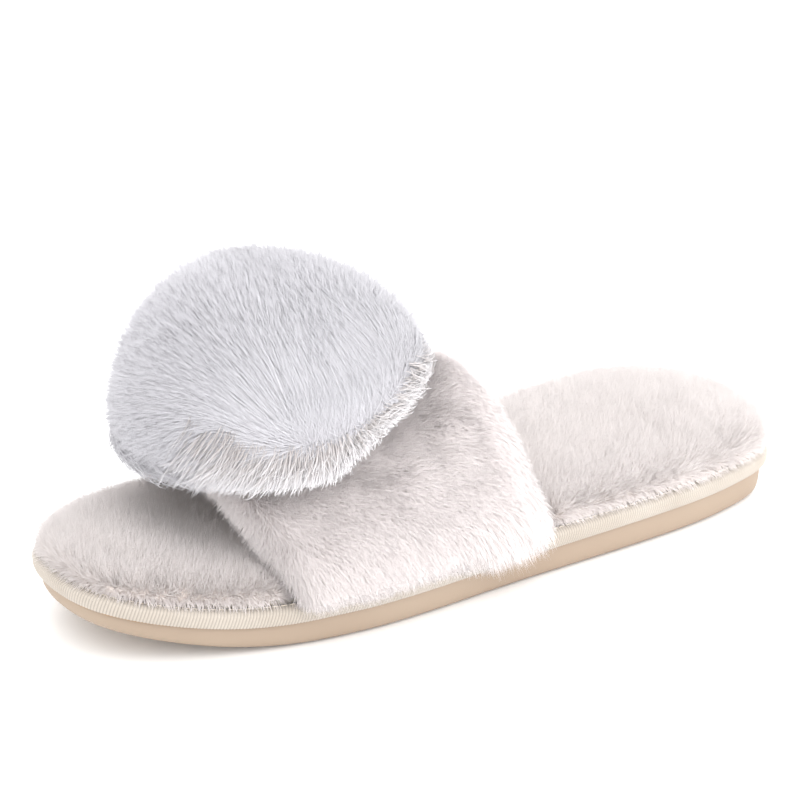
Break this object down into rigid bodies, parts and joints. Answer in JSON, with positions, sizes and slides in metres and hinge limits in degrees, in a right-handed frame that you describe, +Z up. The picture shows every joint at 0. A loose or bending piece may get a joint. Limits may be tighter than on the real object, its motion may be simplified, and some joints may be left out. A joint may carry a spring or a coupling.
{
  "type": "fluffy house slipper",
  "caption": "Open-toe plush house slipper with a padded arched strap, a taped footbed edge and a large fibre pompom tied to the strap.",
  "frame": {"origin": "on the ground, in the middle of the sole's length and width, on the flat part of the outsole", "axes": "+Z up, -Y towards the toe, +X towards the outer side of the foot"},
  "size_m": [0.0993, 0.2612, 0.1037],
  "materials": {
    "outsole": "smooth matt moulded foam rubber, warm beige",
    "board": "pressed cellulose fibreboard",
    "foam": "soft open-cell foam",
    "footbed_plush": "short dense plush pile, warm white",
    "binding_tape": "ribbed woven tape, cream",
    "thread": "twisted sewing thread",
    "strap_plush": "longer soft plush pile, warm white",
    "lining": "short napped lining cloth",
    "cord": "tightly wound cord",
    "felt": "pressed felt",
    "pompom_fibre": "long straight silky fibres with a cool white sheen"
  },
  "bodies": {
    "slipper": {"outsole": "outsole", "insole_board": "board", "footbed_foam": "foam", "footbed_plush": "footbed_plush", "edge_binding": "binding_tape", "binding_thread": "thread", "strap_plush": "strap_plush", "strap_foam": "foam", "strap_lining": "lining", "strap_front_thread": "thread", "strap_rear_thread": "thread", "pompom_cord": "cord"},
    "felt": {"pompom_felt": "felt"},
    "tie": {"pompom_tie": "cord"},
    "pompom": {"pompom_fibres": "pompom_fibre"}
  },
  "joints": [
    {"name": "pompom_nod", "type": "hinge", "parent": "slipper", "child": "felt", "pos_m": [0, -0.05394, 0.06311], "axis": [1, 0, 0], "range_deg": [-6, 6], "stiffness_Nm_per_rad": 0.02},
    {"name": "pompom_sway", "type": "hinge", "parent": "felt", "child": "tie", "pos_m": [0, -0.05394, 0.06311], "axis": [0, 0.9938, 0.1115], "range_deg": [-6, 6], "stiffness_Nm_per_rad": 0.02},
    {"name": "pompom_twist", "type": "hinge", "parent": "tie", "child": "pompom", "pos_m": [0, -0.05394, 0.06311], "axis": [0, -0.1115, 0.9938], "range_deg": [-20, 20], "stiffness_Nm_per_rad": 0.01}
  ]
}
